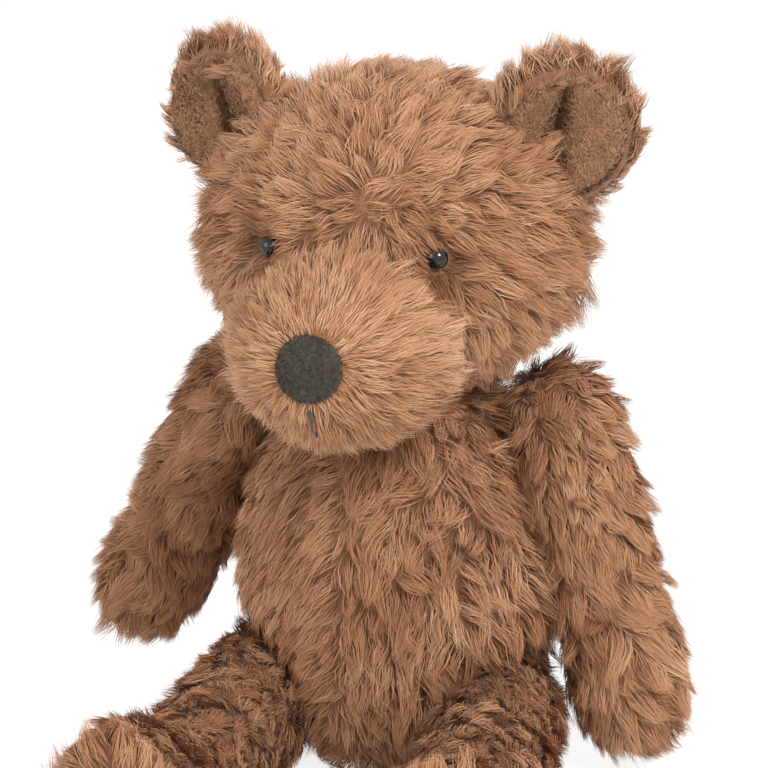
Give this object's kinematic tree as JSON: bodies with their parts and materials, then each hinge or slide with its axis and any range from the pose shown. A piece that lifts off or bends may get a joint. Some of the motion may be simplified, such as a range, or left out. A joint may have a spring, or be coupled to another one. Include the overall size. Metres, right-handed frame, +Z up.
{
  "type": "jointed teddy bear",
  "caption": "Sitting plush teddy bear in long reddish-brown pile, with a bolted disc joint at the neck, each shoulder and each hip, cupped ears and a round felt nose.",
  "frame": {"origin": "middle of the flat face under the torso that the bear sits on", "axes": "+Z up; the bear faces -Y, so its own left side is +X"},
  "size_m": [0.1956, 0.1855, 0.2266],
  "materials": {
    "pile_fabric": "long brushed reddish-brown pile",
    "muzzle_pile": "long golden-tan pile",
    "ear_lining": "short tan plush",
    "foot_pad": "short tan plush",
    "stuffing": "packed fibre",
    "hardboard": "smooth pressed board",
    "nose_felt": "dark grey-green felt",
    "thread": "dark stitched thread",
    "eye_glass": "polished dark bead",
    "washer_plastic": "moulded black",
    "steel": "zinc-plated"
  },
  "bodies": {
    "torso": {"torso_skin": "pile_fabric", "torso_stuffing": "stuffing", "neck_torso_disc": "hardboard", "neck_torso_washer": "steel", "left_shoulder_torso_disc": "hardboard", "left_shoulder_torso_washer": "steel", "right_shoulder_torso_disc": "hardboard", "right_shoulder_torso_washer": "steel", "left_hip_torso_disc": "hardboard", "left_hip_torso_washer": "steel", "right_hip_torso_disc": "hardboard", "right_hip_torso_washer": "steel"},
    "head": {"head_skin": "pile_fabric", "head_stuffing": "stuffing", "muzzle_skin": "muzzle_pile", "muzzle_stuffing": "stuffing", "nose_felt": "nose_felt", "mouth_stitch": "thread", "left_ear_back": "pile_fabric", "left_ear_lining": "ear_lining", "left_eye": "eye_glass", "left_eye_washer": "washer_plastic", "right_ear_back": "pile_fabric", "right_ear_lining": "ear_lining", "right_eye": "eye_glass", "right_eye_washer": "washer_plastic", "neck_limb_disc": "hardboard", "neck_limb_washer": "steel", "neck_bolt": "steel", "neck_nut": "steel"},
    "left_arm": {"left_arm_skin": "pile_fabric", "left_arm_stuffing": "stuffing", "left_shoulder_limb_disc": "hardboard", "left_shoulder_limb_washer": "steel", "left_shoulder_bolt": "steel", "left_shoulder_nut": "steel"},
    "left_leg": {"left_leg_skin": "pile_fabric", "left_leg_stuffing": "stuffing", "left_foot_pad": "foot_pad", "left_hip_limb_disc": "hardboard", "left_hip_limb_washer": "steel", "left_hip_bolt": "steel", "left_hip_nut": "steel"},
    "right_arm": {"right_arm_skin": "pile_fabric", "right_arm_stuffing": "stuffing", "right_shoulder_limb_disc": "hardboard", "right_shoulder_limb_washer": "steel", "right_shoulder_bolt": "steel", "right_shoulder_nut": "steel"},
    "right_leg": {"right_leg_skin": "pile_fabric", "right_leg_stuffing": "stuffing", "right_foot_pad": "foot_pad", "right_hip_limb_disc": "hardboard", "right_hip_limb_washer": "steel", "right_hip_bolt": "steel", "right_hip_nut": "steel"}
  },
  "joints": [
    {"name": "neck_turn", "type": "hinge", "parent": "torso", "child": "head", "pos_m": [0, 0, 0.129], "axis": [0, 0, 1], "range_deg": [-45, 45]},
    {"name": "left_shoulder_swing", "type": "hinge", "parent": "torso", "child": "left_arm", "pos_m": [0.0355, 0.004, 0.107], "axis": [-0.9613, 0, -0.2756], "range_deg": [-60, 70]},
    {"name": "right_shoulder_swing", "type": "hinge", "parent": "torso", "child": "right_arm", "pos_m": [-0.0355, 0.004, 0.107], "axis": [-0.891, 0, 0.454], "range_deg": [-46, 84]},
    {"name": "left_hip_swing", "type": "hinge", "parent": "torso", "child": "left_leg", "pos_m": [0.02, -0.018, 0.0222], "axis": [-0.9976, -0.0698, 0], "range_deg": [-90, 4]},
    {"name": "right_hip_swing", "type": "hinge", "parent": "torso", "child": "right_leg", "pos_m": [-0.02, -0.018, 0.0222], "axis": [-0.9976, 0.0698, 0], "range_deg": [-90, 4]}
  ]
}
